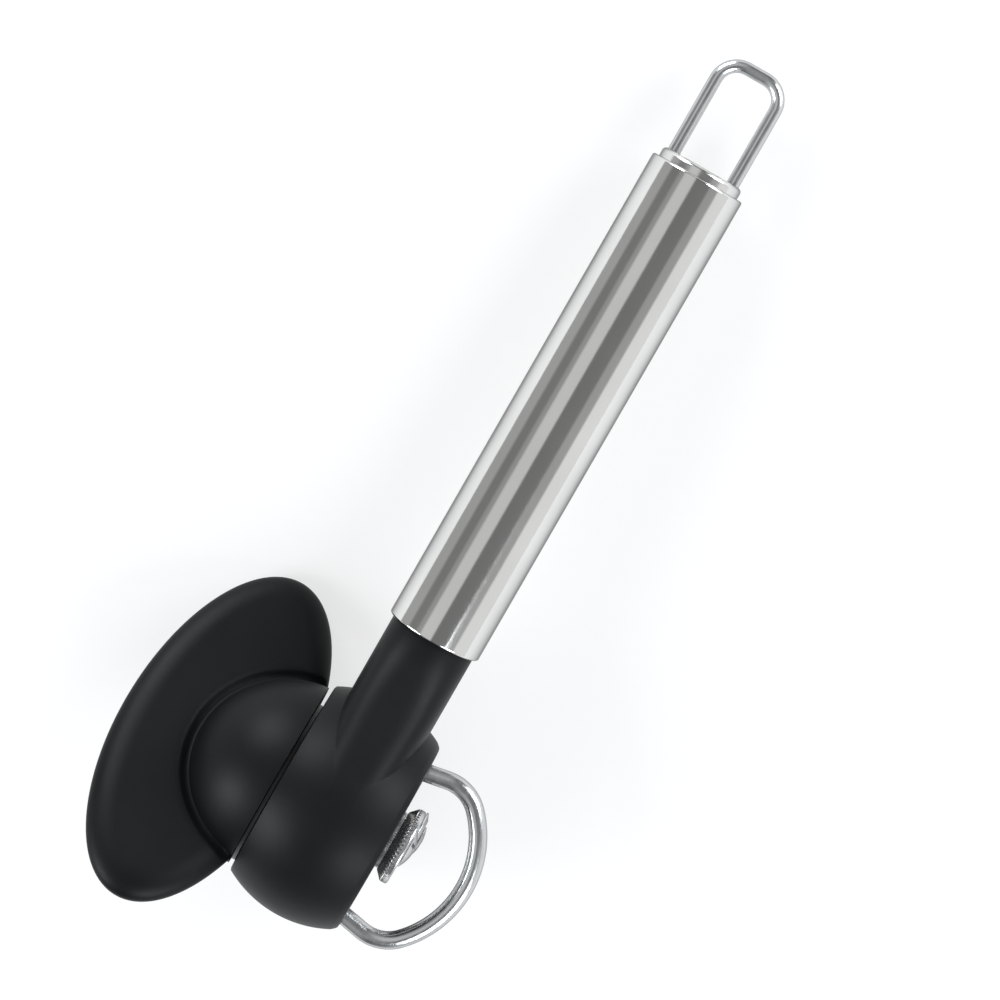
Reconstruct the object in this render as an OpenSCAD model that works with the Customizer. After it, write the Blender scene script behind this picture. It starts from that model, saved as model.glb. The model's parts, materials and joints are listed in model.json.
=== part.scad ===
// Manual can opener: tube handle with a hanging loop, ball-shaped head housing, butterfly knob,
// toothed drive wheel on an eccentric sleeve, free-turning cutter wheel and a wire guide ring.
//
// Tool frame used inside in_row(): origin at the ball centre, +X along the barrel (drive) axis to
// the wheel side, +Y along the handle to the hanging loop, +Z away from the surface it lies on.
// The finished part lies on a table (z = 0), touching it with the ball, the tube's far end and
// the knob's lower edge.

/* [Handle] */
// outer radius of the steel tube
tube_r = 10; // [9:0.5:11]
// wall of the tube
tube_wall = 0.95; // [0.8:0.05:1.2]
// start of the tube, from the ball centre
tube_y0 = 40; // [38:0.2:44]
// end of the tube, from the ball centre
tube_y1 = 144.5; // [130:0.5:160]
// round on the tube's two end edges
tube_round = 0.8; // [0.5:0.1:0.8]
// radius of the stepped end cap
cap_r = 8.8; // [8.4:0.1:9]
// height of the end cap's step
cap_h = 2.1; // [1.6:0.1:4]
// depth of the cap's plug inside the tube
cap_plug = 9; // [6:0.5:16]
// radius of the tie rod
rod_r = 2; // [1.6:0.1:2.4]

/* [Hanging loop] */
// radius of the loop's wire
loop_wire_r = 1.3; // [1:0.05:1.4]
// half the distance between the legs
loop_half = 6.6; // [6.4:0.1:7]
// bend radius of the corners, at the wire's centre
loop_bend = 4.6; // [3:0.1:5.5]
// reach of the crossbar's centre beyond the tube's end
loop_reach = 23; // [16:0.5:30]

/* [Head housing] */
// radius of the ball
ball_r = 24.2; // [23.6:0.1:26]
// seam plane, on the knob side
seam_x = 12; // [11.6:0.1:13]
// face plane, on the wheel side
face_x = 12.3; // [12.2:0.1:12.4]
// chamfer round the face
face_chamfer = 1.2; // [0.6:0.1:1.4]
// radius of the neck and of its spigot in the tube
neck_r = 9; // [8.6:0.05:9]
// where the neck starts to swell toward the ball, from the ball centre
neck_flare = 38; // [30:0.5:38]
// length of the spigot inside the tube
spigot_len = 24; // [18:1:40]

/* [Knob] */
// ellipse semi-axis across the paddle
paddle_half_w = 38.3; // [36:0.1:40]
// ellipse semi-axis along the barrel
paddle_half_l = 18.5; // [17:0.1:20]
// distance from the ball centre to the ellipse centre
paddle_x = 28.7; // [27:0.1:30]
// paddle thickness
paddle_t = 7; // [6:0.1:8]
// width of the bevelled rim
rim_w = 3.5; // [3.2:0.1:5]
// flat edge left on the rim
rim_flat = 2.4; // [1.6:0.1:3]
// radius of the dome
dome_r = 20.1; // [19.6:0.1:20.6]
// distance from the ball centre to the dome centre
dome_x = 11.2; // [11:0.1:12]
// plane where the knob is cut
knob_cut = 13; // [12.8:0.1:13.4]

/* [Drive] */
// radius of the drive shaft
shaft_r = 4; // [3.6:0.1:4]
// tip radius of the drive wheel
wheel_r = 8.2; // [7.6:0.1:8.4]
// tooth depth
tooth_h = 0.5; // [0.4:0.05:0.8]
// number of teeth
teeth = 56; // [36:1:60]
// back of the drive wheel
wheel_x0 = 13.3; // [13.2:0.1:13.5]
// front of the drive wheel
wheel_x1 = 16.4; // [16:0.1:16.8]
// width of the smooth bevel behind the teeth
wheel_bevel = 1.6; // [1:0.1:1.8]

/* [Eccentric sleeve] */
// offset of the shaft from the sleeve's own axis
ecc = 2; // [1.6:0.1:2]
// angle the sleeve turns between its stops
ecc_turn = 120; // [100:5:120]
// radius of the sleeve's barrel
sleeve_r = 8.6; // [8.5:0.05:8.7]
// radius of the collar seen in the gap, round the sleeve's own axis
collar_r = 17.6; // [16.5:0.1:17.8]
// radius of the flange inside the housing
flange_r = 15; // [14.8:0.1:15.2]

/* [Cutter] */
// radius of the cutter wheel
cutter_r = 6; // [5.6:0.1:6.4]
// distance from the shaft axis to the cutter axis
cutter_gap = 11.8; // [11.6:0.1:12]
// radius of the axle's shoulder
axle_r = 1.6; // [1.5:0.05:1.6]
// radius of the spacer that the can's rim runs past
spacer_r = 2.3; // [2.2:0.05:2.4]

/* [Guide ring] */
// radius of the ring's wire
ring_wire_r = 1.85; // [1.6:0.05:1.9]
// half width of the ring
ring_half = 17.6; // [17.2:0.1:17.8]
// reach of the ring's crown from the ball centre
ring_reach = 30.2; // [28:0.2:34]
// x of the widest place
ring_wide_x = 18.2; // [17.6:0.2:19]
// height of the ring above the barrel axis
ring_z = 5; // [3:0.5:5.5]
// offset of the ring toward the free side of the head
ring_drop = 0.4; // [0:0.1:0.6]
// lean of the legs towards each other
ring_lean = 10.6; // [8:0.2:12]

/* [Hidden] */
$fn = 96;
fit = 0.05;
eps = 0.01;

tube_len = tube_y1 - tube_y0;
loop_top = tube_y1 + loop_reach;

// lying pose: the tube's far edge and the paddle's lower edge touch the table with the ball
lean_a = tube_y1 - tube_round;
lean_b = tube_r - tube_round;
lean = asin((ball_r - tube_round) / norm([lean_a, lean_b])) - atan(lean_b / lean_a);
paddle_world = asin(ball_r / norm([paddle_half_w, rim_flat / 2])) - atan(rim_flat / 2 / paddle_half_w);
paddle_tilt = paddle_world - lean;

// the row frame's origin: middle of the footprint, on the table
x_min = -paddle_x - paddle_half_l;
x_max = ring_reach + ring_wire_r;
y_min = -(paddle_half_w * cos(paddle_world) + rim_flat / 2 * sin(paddle_world));
y_max = loop_top * cos(lean) + loop_wire_r;
row_x = (x_min + x_max) / 2;
row_y = (y_min + y_max) / 2;

// the neck swells up and down until it dips under the ball's surface
flare_r = neck_r - 0.1;
flare_step = 0.05;
flare_dip = 0.2;
flare_tilt = asin((ball_r - flare_r - flare_dip) / neck_flare);

// eccentric sleeve: its own axis, seen from the shaft axis
ecc_y = -ecc * cos(ecc_turn / 2);
ecc_z = ecc * sin(ecc_turn / 2);
sleeve_x1 = face_x - 0.1;
collar_x0 = -knob_cut + 0.15;
flange_x0 = -seam_x - 0.15;
flange_x1 = -8.4;
recess_x1 = -8;
recess_r = flange_r + 0.4;
bush_r = 5.2;
bush_len = 6;
liner_in = sleeve_r + 0.07;
liner_out = 9.9;
liner_x0 = recess_x1;
liner_x1 = face_x - 0.2;
stop_orbit = 12.3;
stop_r = 1.4;
stop_len = 6;
stop_x0 = -10.2;
slot_w = stop_r + 0.15;
slot_play = 1;

// guide ring: end bends, crown and the angle where they meet
ring_end_y = ring_half - (ring_reach - ring_wide_x) * 0.69;
ring_end_r = ring_half - ring_end_y;
ring_a = ring_reach - ring_end_r - ring_wide_x;
ring_du = (ring_end_y * ring_end_y - ring_a * ring_a) / (2 * ring_a);
ring_crown_r = ring_reach - ring_wide_x + ring_du;
ring_split = atan(ring_end_y / ring_du);
ring_step = 0.02;
ring_lap = 0.15;

// knob and its fixings
insert_r = 7;
insert_x0 = -27.2;
insert_x1 = -13.9;
pin_x = -21;
pin_r = 1;
pin_half = 6.4;
wave_r = 9.6;
wave_in = 6;
wave_t = 0.5;
groove = 1.3;
groove_deep = 0.9;

// drive shaft end, wheel, screw
shaft_x0 = -26.4;
shaft_x1 = face_x + 0.2;
nose_r = 3;
nose_flat = 2.3;
nose_x1 = wheel_x1 - 0.2;
screw_r = 1.4;
screw_head_r = 4;
screw_head_h = 1.6;
screw_x0 = 9;
washer_r = 6.25;
washer_x0 = shaft_x1;
driver_slot = 0.9;

// cutter stack
cutter_t = 1;
cutter_x0 = wheel_x1 + 0.35;
cutter_edge = 0.35;
cutter_bevel = 1.5;
cutter_bore = 2.8;
axle_head_r = 3.3;
axle_head_x = cutter_x0 + cutter_t + 0.15;
axle_head_h = 0.9;
axle_thread_r = 1.3;
axle_x0 = 5;
ins_r = 2.3;
ins_x0 = 4.2;
ins_x1 = face_x - 0.2;

// cap and tie rod stack
cap_bevel = 0.8;
rod_ins_r = 4.5;
rod_ins_len = 12;
rod_top = tube_y1 - 0.4;
nut_r = 3.6;
nut_h = 3;
nut_y = tube_y1 - 2;
spigot_end = tube_y0 + spigot_len;
loop_foot = tube_y1 - 7;

// ---------- placing helpers ----------

module in_row() {
    translate([-row_x, -row_y, ball_r]) rotate([-lean, 0, 0]) children();
}

// a thing drawn along +Z is laid along +Y, starting at y
module along_y(y) {
    translate([0, y, 0]) rotate([-90, 0, 0]) children();
}

// a thing drawn along +Z is laid along +X, starting at x
module along_x(x, y = 0, z = 0) {
    translate([x, y, z]) rotate([0, 90, 0]) children();
}

// cylinder along X between two planes
module x_cyl(r, x0, x1, y = 0, z = 0) {
    along_x(x0, y, z) cylinder(r = r, h = x1 - x0);
}

// the same, centred on the sleeve's own axis
module e_cyl(r, x0, x1) {
    x_cyl(r, x0, x1, ecc_y, ecc_z);
}

// cylinder along Y between two planes
module y_cyl(r, y0, y1, x = 0) {
    translate([x, 0, 0]) along_y(y0) cylinder(r = r, h = y1 - y0);
}

module x_ring(r_out, r_in, x0, x1, y = 0, z = 0) {
    difference() {
        x_cyl(r_out, x0, x1, y, z);
        x_cyl(r_in, x0 - eps, x1 + eps, y, z);
    }
}

// low domed screw head with a driver slot, its flat side at x0
module domed_head(r, h, x0, y = 0, z = 0) {
    dome = (r * r + h * h) / (2 * h);
    along_x(x0, y, z) difference() {
        rotate_extrude() intersection() {
            translate([0, h - dome]) circle(r = dome);
            square([r + 1, h + 1]);
        }
        translate([-r - 1, -driver_slot / 2, h / 2]) cube([2 * r + 2, driver_slot, h]);
    }
}

// bent wire piece: part of a torus in the XY plane round (x, y), from angle a by sweep
module wire_bend(x, y, bend, wire, a, sweep) {
    translate([x, y, 0]) rotate([0, 0, a]) rotate_extrude(angle = sweep)
        translate([bend, 0]) circle(r = wire, $fn = 48);
}

// straight wire from a point, along an angle in the XY plane
module wire_leg(x, y, wire, a, len) {
    translate([x, y, 0]) rotate([0, 0, a]) along_x(0) cylinder(r = wire, h = len, $fn = 48);
}

// ---------- handle ----------

// seamless steel tube with both outer edges rolled over
module handle_tube() {
    color("silver") in_row() along_y(tube_y0) rotate_extrude() difference() {
        union() {
            translate([tube_r - tube_wall, 0]) square([tube_wall - tube_round, tube_len]);
            translate([tube_r - tube_wall, tube_round]) square([tube_wall, tube_len - 2 * tube_round]);
            for (y = [tube_round, tube_len - tube_round])
                translate([tube_r - tube_round, y]) circle(r = tube_round, $fn = 48);
        }
        translate([0, -1]) square([tube_r - tube_wall, tube_len + 2]);
    }
}

// turned plug with a smaller step above the tube, bored for the loop's legs and the tie rod's nut
module end_cap() {
    plug_r = tube_r - tube_wall - fit;
    step_top = tube_y1 + cap_h;
    color("gainsboro") in_row() difference() {
        union() {
            y_cyl(plug_r, tube_y1 - cap_plug, tube_y1);
            y_cyl(min(cap_r, plug_r), tube_y1 - eps, step_top - cap_bevel);
            along_y(step_top - cap_bevel)
                cylinder(r1 = min(cap_r, plug_r), r2 = min(cap_r, plug_r) - cap_bevel, h = cap_bevel);
        }
        for (side = [-1, 1]) y_cyl(loop_wire_r + fit, loop_foot - fit, step_top + 1, side * loop_half);
        y_cyl(rod_r + fit, tube_y1 - cap_plug - 1, nut_y);
        y_cyl(nut_r + 0.1, nut_y - fit, step_top + 1);
    }
}

// one wire bent to a U, both legs pressed into the cap
module hanging_loop() {
    corner_y = loop_top - loop_bend;
    corner_x = loop_half - loop_bend;
    color("silver") in_row() {
        for (side = [-1, 1]) y_cyl(loop_wire_r, loop_foot, corner_y, side * loop_half, $fn = 48);
        wire_bend(corner_x, corner_y, loop_bend, loop_wire_r, 0, 90);
        wire_bend(-corner_x, corner_y, loop_bend, loop_wire_r, 90, 90);
        wire_leg(-corner_x, loop_top, loop_wire_r, 0, 2 * corner_x);
    }
}

// threaded rod that pulls the cap, the tube and the housing together
module tie_rod() {
    color("gray") in_row() y_cyl(rod_r, spigot_end - rod_ins_len + 1, rod_top);
}

// round slotted nut sunk in the cap
module rod_nut() {
    color("silver") in_row() difference() {
        y_cyl(nut_r, nut_y, nut_y + nut_h);
        y_cyl(rod_r + fit, nut_y - 1, nut_y + nut_h + 1);
        for (side = [-1, 1]) translate([side * nut_r - 1, nut_y + nut_h - 1, -driver_slot / 2])
            cube([2, 2, driver_slot]);
    }
}

// grooved brass insert moulded into the spigot
module rod_insert() {
    color("goldenrod") in_row() difference() {
        y_cyl(rod_ins_r, spigot_end - rod_ins_len, spigot_end);
        y_cyl(rod_r + fit, spigot_end - rod_ins_len - 1, spigot_end + 1);
        for (k = [1:3]) along_y(spigot_end - k * rod_ins_len / 4 - 0.5) difference() {
            cylinder(r = rod_ins_r + 1, h = 1);
            translate([0, 0, -1]) cylinder(r = rod_ins_r - 0.4, h = 3);
        }
    }
}

// ---------- head ----------

// zone of a ball round the barrel axis, cut flat at the seam and at the face, chamfered round the face
module ball_zone() {
    face_r = sqrt(ball_r * ball_r - face_x * face_x);
    rim_x = face_x - face_chamfer;
    rim_r = sqrt(ball_r * ball_r - rim_x * rim_x);
    corner = [face_r - face_chamfer, face_x];
    beyond = 2 * [rim_r, rim_x] - corner;
    side = 2 * ball_r;
    along_x(0) rotate_extrude() intersection() {
        circle(r = ball_r);
        polygon([[0, -seam_x], [side, -seam_x], [side, beyond.y], beyond, corner, [0, face_x]]);
    }
}

// ball zone with its swelling neck and its spigot
module head_housing() {
    color("dimgray") in_row() difference() {
        union() {
            ball_zone();
            y_cyl(neck_r, 0, spigot_end);
            for (k = [0, 1]) translate([0, neck_flare, 0]) rotate([90 + (2 * k - 1) * flare_tilt, 0, 0])
                cylinder(r = flare_r - k * flare_step, h = neck_flare * cos(flare_tilt));
        }
        // recess for the sleeve's flange and bore for the liner
        e_cyl(recess_r, -seam_x - 1, recess_x1);
        e_cyl(liner_out + fit, recess_x1 - 1, face_x + 1);
        // holes for stop pin, ring legs, cutter insert and tie-rod insert
        stop_place() x_cyl(stop_r + fit, 0, stop_len);
        ring_legs(ring_wire_r + fit, 0.1);
        x_cyl(ins_r + fit, ins_x0, face_x + 1, 0, -cutter_gap);
        y_cyl(rod_ins_r + fit, spigot_end - rod_ins_len, spigot_end + 1);
    }
}

// plain bearing liner pressed into the housing, in which the sleeve turns
module bore_liner() {
    color("ivory") in_row() difference() {
        e_cyl(liner_out, liner_x0, liner_x1);
        e_cyl(liner_in, liner_x0 - 1, liner_x1 + 1);
    }
}

// where the stop pin stands: on its orbit round the sleeve's axis
module stop_place() {
    translate([stop_x0, ecc_y, ecc_z]) rotate([90, 0, 0]) translate([0, stop_orbit, 0]) children();
}

// dowel that stops the sleeve at both ends of its turn
module stop_pin() {
    color("silver") in_row() stop_place() x_cyl(stop_r, 0, stop_len);
}

// ---------- guide ring ----------

// both straight legs of the ring, drawn with a given wire radius
module ring_legs(wire, extra) {
    leg = (ring_wide_x - 4.6) / cos(ring_lean) + extra;
    leg_x = ring_wide_x - ring_end_r * sin(ring_lean) + ring_lap;
    leg_y = ring_end_y + ring_end_r * cos(ring_lean) + ring_lap * tan(ring_lean);
    for (side = [-1, 1]) translate([0, -ring_drop, ring_z])
        wire_leg(leg_x, side * leg_y, wire, 180 + side * ring_lean, leg);
}

// round wire bent to a D, both legs pressed into the face of the housing; each straight or bend
// is a hair thinner than the next and laps into it
module guide_ring() {
    lap = 1;
    bend = 90 + ring_lean - ring_split + lap;
    end_wire = ring_wire_r - ring_step;
    color("silver") in_row() {
        ring_legs(ring_wire_r - 2 * ring_step, 0);
        translate([0, -ring_drop, ring_z]) {
            wire_bend(ring_wide_x, ring_end_y, ring_end_r, end_wire, ring_split - lap, bend);
            wire_bend(ring_wide_x, -ring_end_y, ring_end_r, end_wire, -90 - ring_lean, bend);
            wire_bend(ring_wide_x - ring_du, 0, ring_crown_r, ring_wire_r, -ring_split, 2 * ring_split);
        }
    }
}

// ---------- cutter ----------

// grooved brass insert for the cutter's axle
module cutter_insert() {
    color("goldenrod") in_row() difference() {
        x_cyl(ins_r, ins_x0, ins_x1, 0, -cutter_gap);
        x_cyl(axle_thread_r + fit, ins_x0 - 1, ins_x1 + 1, 0, -cutter_gap);
        for (x = [ins_x0 + 2.6, ins_x0 + 5.2]) x_ring(ins_r + 1, ins_r - 0.3, x, x + 0.9, 0, -cutter_gap);
    }
}

// hub that the can's rim runs past
module cutter_spacer() {
    color("silver") in_row() x_ring(spacer_r, axle_r + fit, ins_x1 + 0.05, cutter_x0 - 0.15, 0, -cutter_gap);
}

// shoulder screw that carries the cutter wheel
module cutter_axle() {
    color("gray") in_row() {
        x_cyl(axle_thread_r, axle_x0, ins_x1 + 0.1, 0, -cutter_gap);
        x_cyl(axle_r, ins_x1 + 0.05, axle_head_x + eps, 0, -cutter_gap);
        domed_head(axle_head_r, axle_head_h, axle_head_x, 0, -cutter_gap);
    }
}

// hardened disc, bevelled to a narrow rim that overlaps the drive wheel's face
module cutter_wheel() {
    color("lightgray") in_row() along_x(cutter_x0, 0, -cutter_gap) rotate_extrude()
        polygon([[cutter_bore + fit, 0], [cutter_r, 0], [cutter_r, cutter_edge],
                 [cutter_r - cutter_bevel, cutter_t], [cutter_bore + fit, cutter_t]]);
}

// bronze bush pressed into the cutter wheel
module cutter_bush() {
    color("peru") in_row()
        x_ring(cutter_bore, axle_r + fit, cutter_x0 - 0.1, cutter_x0 + cutter_t + 0.1, 0, -cutter_gap);
}

// ---------- eccentric sleeve ----------

// collar, flange and barrel on the sleeve's own axis, bore on the shaft axis
module eccentric_sleeve() {
    color("darkslategray") in_row() difference() {
        union() {
            e_cyl(collar_r, collar_x0, flange_x0);
            e_cyl(flange_r, flange_x0 - eps, flange_x1);
            e_cyl(sleeve_r, flange_x1 - eps, sleeve_x1);
        }
        x_cyl(bush_r + fit, collar_x0 - 1, sleeve_x1 + 1);
        stop_slot();
    }
}

// curved slot in the flange: the stop pin stands at one end of it in the rest pose
module stop_slot() {
    sweep = ecc_turn + 2 * slot_play;
    translate([stop_x0 - 0.3, ecc_y, ecc_z]) rotate([90, 0, 0]) {
        rotate([0, 90, 0]) rotate([0, 0, 90 + slot_play - sweep]) rotate_extrude(angle = sweep)
            translate([stop_orbit - slot_w, 0]) square([2 * slot_w, 6]);
        for (a = [slot_play, slot_play - sweep]) rotate([a, 0, 0])
            translate([0, stop_orbit, 0]) x_cyl(slot_w, 0, 6);
    }
}

// two plain bushes in the sleeve, one at each end
module sleeve_bushes() {
    color("peru") in_row() {
        x_ring(bush_r, shaft_r + fit, collar_x0, collar_x0 + bush_len);
        x_ring(bush_r, shaft_r + fit, sleeve_x1 - bush_len, sleeve_x1);
    }
}

// spring washer between knob and sleeve: its drag turns the sleeve to its stop
module wave_washer() {
    color("silver") in_row() x_ring(wave_r, wave_in, collar_x0 - 0.15 - wave_t, collar_x0 - 0.15);
}

// ---------- drive ----------

// outline points of an ellipse: a along X, b along Y, round the paddle's centre
function oval(a, b, n = 96) = [for (i = [0:n - 1])
    [-paddle_x + a * cos(i * 360 / n), b * sin(i * 360 / n)]];

// flat oval plate with a bevelled rim
module paddle() {
    hull() {
        translate([0, 0, -rim_flat / 2]) linear_extrude(rim_flat)
            polygon(oval(paddle_half_l, paddle_half_w));
        translate([0, 0, -paddle_t / 2]) linear_extrude(paddle_t)
            polygon(oval(paddle_half_l - rim_w, paddle_half_w - rim_w));
    }
}

// butterfly knob: paddle and dome, cut flat at the seam and hollowed for the spring washer and the hub
module knob() {
    color("dimgray") in_row() rotate([-paddle_tilt, 0, 0]) difference() {
        union() {
            difference() {
                paddle();
                for (side = [-1, 1]) intersection() {
                    translate([-dome_x, 0, 0]) sphere(r = dome_r + groove);
                    translate([-60, -40, side * paddle_t / 2 - groove_deep]) cube([60, 80, 2 * groove_deep]);
                }
            }
            translate([-dome_x, 0, 0]) sphere(r = dome_r);
        }
        translate([-knob_cut, -60, -60]) cube([80, 120, 120]);
        x_cyl(wave_r + 0.4, insert_x1 - fit, 0);
        x_cyl(insert_r + fit, insert_x0 - fit, 0);
    }
}

// grooved steel hub moulded into the knob, crossed by the pin
module knob_insert() {
    color("gray") in_row() rotate([-paddle_tilt, 0, 0]) difference() {
        x_cyl(insert_r, insert_x0, insert_x1);
        x_cyl(shaft_r + fit, insert_x0 + 0.7, insert_x1 + 1);
        translate([pin_x, 0, -insert_r - 1]) cylinder(r = pin_r + fit, h = 2 * insert_r + 2);
        for (k = [0:7]) rotate([k * 45 + 22.5, 0, 0]) translate([insert_x0 - 1, -0.6, insert_r - 0.5])
            cube([insert_x1 - insert_x0 + 2, 1.2, 2]);
    }
}

// dowel through the insert and the shaft
module cross_pin() {
    color("silver") in_row() rotate([-paddle_tilt, 0, 0])
        translate([pin_x, 0, -pin_half]) cylinder(r = pin_r, h = 2 * pin_half);
}

// steel shaft with a flatted nose for the drive wheel and a tapped end
module drive_shaft() {
    color("gray") in_row() rotate([-paddle_tilt, 0, 0]) difference() {
        union() {
            x_cyl(shaft_r, shaft_x0, shaft_x1);
            intersection() {
                x_cyl(nose_r, shaft_x1 - eps, nose_x1);
                translate([shaft_x1 - 1, -nose_r - 1, -nose_flat]) cube([20, 2 * nose_r + 2, 2 * nose_flat]);
            }
        }
        translate([pin_x, 0, -shaft_r - 1]) cylinder(r = pin_r + fit, h = 2 * shaft_r + 2);
        x_cyl(screw_r + fit, screw_x0 - 1, nose_x1 + 1);
    }
}

// steel washer between the sleeve and the drive wheel
module wheel_washer() {
    color("silver") in_row() x_ring(washer_r, nose_r + fit, washer_x0, wheel_x0 - 0.02);
}

// hardened toothed wheel: V teeth in front, smooth bevel behind them
module drive_wheel() {
    tips = [for (i = [0:2 * teeth - 1])
        let (r = i % 2 == 0 ? wheel_r : wheel_r - tooth_h, a = i * 180 / teeth) [r * cos(a), r * sin(a)]];
    root = wheel_r - tooth_h - 0.1;
    color("lightgray") in_row() rotate([-paddle_tilt, 0, 0]) difference() {
        union() {
            along_x(wheel_x0 + wheel_bevel) linear_extrude(wheel_x1 - wheel_x0 - wheel_bevel) polygon(tips);
            along_x(wheel_x0) cylinder(r1 = root - 0.9, r2 = root, h = wheel_bevel + eps);
        }
        intersection() {
            x_cyl(nose_r + fit, wheel_x0 - 1, wheel_x1 + 1);
            translate([wheel_x0 - 1, -nose_r - 1, -nose_flat - fit])
                cube([20, 2 * nose_r + 2, 2 * (nose_flat + fit)]);
        }
    }
}

// domed screw that holds the wheel on the shaft
module wheel_screw() {
    color("silver") in_row() rotate([-paddle_tilt, 0, 0]) {
        x_cyl(screw_r, screw_x0, wheel_x1 + eps);
        domed_head(screw_head_r, screw_head_h, wheel_x1);
    }
}

handle_tube();
end_cap();
hanging_loop();
tie_rod();
rod_nut();
rod_insert();
head_housing();
bore_liner();
stop_pin();
guide_ring();
cutter_insert();
cutter_spacer();
cutter_axle();
eccentric_sleeve();
sleeve_bushes();
wave_washer();
knob();
knob_insert();
cross_pin();
drive_shaft();
wheel_washer();
drive_wheel();
wheel_screw();
cutter_wheel();
cutter_bush();
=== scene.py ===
"""Manual can opener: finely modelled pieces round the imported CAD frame, with studio light."""

import json
import math

import bmesh
import bpy
from mathutils import Matrix, Vector


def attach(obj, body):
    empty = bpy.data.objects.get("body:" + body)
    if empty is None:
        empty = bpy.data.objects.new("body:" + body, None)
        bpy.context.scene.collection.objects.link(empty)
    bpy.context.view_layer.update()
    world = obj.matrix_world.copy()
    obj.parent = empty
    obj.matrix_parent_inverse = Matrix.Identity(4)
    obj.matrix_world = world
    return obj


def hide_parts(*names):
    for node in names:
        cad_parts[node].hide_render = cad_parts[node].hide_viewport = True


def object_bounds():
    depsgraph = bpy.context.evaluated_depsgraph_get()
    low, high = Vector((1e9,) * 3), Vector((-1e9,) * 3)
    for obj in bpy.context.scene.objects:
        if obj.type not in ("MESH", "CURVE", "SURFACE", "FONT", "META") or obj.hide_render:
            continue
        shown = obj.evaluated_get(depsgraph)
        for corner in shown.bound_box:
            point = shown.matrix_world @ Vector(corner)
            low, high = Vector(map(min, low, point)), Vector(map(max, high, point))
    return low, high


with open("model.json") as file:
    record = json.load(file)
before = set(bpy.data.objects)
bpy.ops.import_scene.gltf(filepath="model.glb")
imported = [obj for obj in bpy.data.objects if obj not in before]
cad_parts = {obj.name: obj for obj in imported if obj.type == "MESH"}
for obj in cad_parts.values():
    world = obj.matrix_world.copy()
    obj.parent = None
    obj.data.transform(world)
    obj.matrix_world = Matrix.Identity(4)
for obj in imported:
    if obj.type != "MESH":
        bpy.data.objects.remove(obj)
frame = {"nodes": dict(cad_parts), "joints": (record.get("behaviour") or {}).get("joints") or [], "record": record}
cad_low, cad_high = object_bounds()
record = frame["record"]
nodes = frame["nodes"]

# ---------------------------------------------------------------- tool frame
# Origin at the ball's centre, X along the barrel (drive) axis to the wheel, Y along the handle to
# the loop, Z away from the table.

joints = {j["name"]: j for j in frame["joints"]}
mounts = {m["name"]: m for m in record["mounts"]}
MM = 0.001
ORIGIN = Vector(joints["drive_turn"]["pos_m"])
X_AXIS = Vector(joints["drive_turn"]["axis"])
Y_AXIS = Vector(mounts["handle_tube_outside"]["axis"]).normalized()
Z_AXIS = X_AXIS.cross(Y_AXIS)
LEAN = math.atan2(-Y_AXIS.z, Y_AXIS.y)
TOOL = Matrix.Translation(ORIGIN) @ Matrix((X_AXIS, Y_AXIS, Z_AXIS)).transposed().to_4x4()
TO_ROW = TOOL @ Matrix.Scale(MM, 4)


def in_tool(node):
    """Lowest and highest corner of a CAD node's box in the tool frame, in mm."""
    inverse = TO_ROW.inverted()
    points = [inverse @ v.co for v in nodes[node].data.vertices]
    return (Vector([min(p[i] for p in points) for i in range(3)]),
            Vector([max(p[i] for p in points) for i in range(3)]))


# ---------------------------------------------------------------- sizes, in mm, tool frame

BALL_R = 24.2
SEAM_X = -12.0
FACE_X = 12.3
NECK_R = 9.0
NECK_FLARE = 38.0
NECK_SQUARE = 3.6
FLANGE_BORE_R = 15.4
FLANGE_SEAT_X = -8.0
SLEEVE_BORE_R = 9.95
AXLE_HOLE_R = 2.35
AXLE_HOLE_X = 4.2

TUBE_R = mounts["handle_tube_outside"]["dims"]["r_mm"]
TUBE_Y0 = in_tool("handle_tube")[0].y
TUBE_Y1 = in_tool("handle_tube")[1].y
TUBE_WALL = 0.95
TUBE_BORE_DEPTH = 12
CAP_TOP = in_tool("end_cap")[1].y
CAP_R = 8.8
CAP_GAP = 0.05
CAP_NUT_R = 3.7
CAP_NUT_DEPTH = 2.1

LOOP_WIRE = 1.3
LOOP_HALF = 6.6
LOOP_BEND = 4.6
LOOP_TOP = in_tool("hanging_loop")[1].y - LOOP_WIRE

RING_WIRE = 1.85
RING_HALF = 17.6
RING_DROP = 0.4
RING_WIDE_X = 18.2
RING_REACH = in_tool("guide_ring")[1].x - RING_WIRE
RING_Z = 5.0
RING_LEAN = math.radians(10.6)
RING_BEND_SHARE = 0.69

PADDLE_X = -28.7
PADDLE_A = 18.5
PADDLE_B = 38.3
PADDLE_T = 3.5
PADDLE_FLAT = 1.2
DOME_R = 20.1
DOME_X = -11.2
CUT_X = -13.0
INSERT_R = 7.05
INSERT_GAP = 0.05
INSERT_X0 = in_tool("knob_insert")[0].x - INSERT_GAP
INSERT_X1 = in_tool("knob_insert")[1].x - INSERT_GAP
POCKET_R = 10.0

ECC = TO_ROW.inverted() @ Vector(joints["sleeve_turn"]["pos_m"])
CUTTER = TO_ROW.inverted() @ Vector(joints["cutter_turn"]["pos_m"])

WHEEL_X0 = in_tool("drive_wheel")[0].x
WHEEL_X1 = in_tool("drive_wheel")[1].x
WHEEL_R = 8.2
WHEEL_FRONT_R = 6.5
WHEEL_BEVEL = 1.6
WHEEL_BORE_R = 3.0
TEETH = 56
NOTCH_R = 6.6
NOTCH_DEPTH = 0.5
NOTCH_SLOPE = 0.85
NOTCH_SHIFT = 0.1
WASHER_R = 6.25
WASHER_TEETH = 72
WASHER_NOTCH = 0.2

CUTTER_BORE_R = 2.85
CUTTER_LAND = 0.35
CUTTER_BEVEL = 1.5

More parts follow.
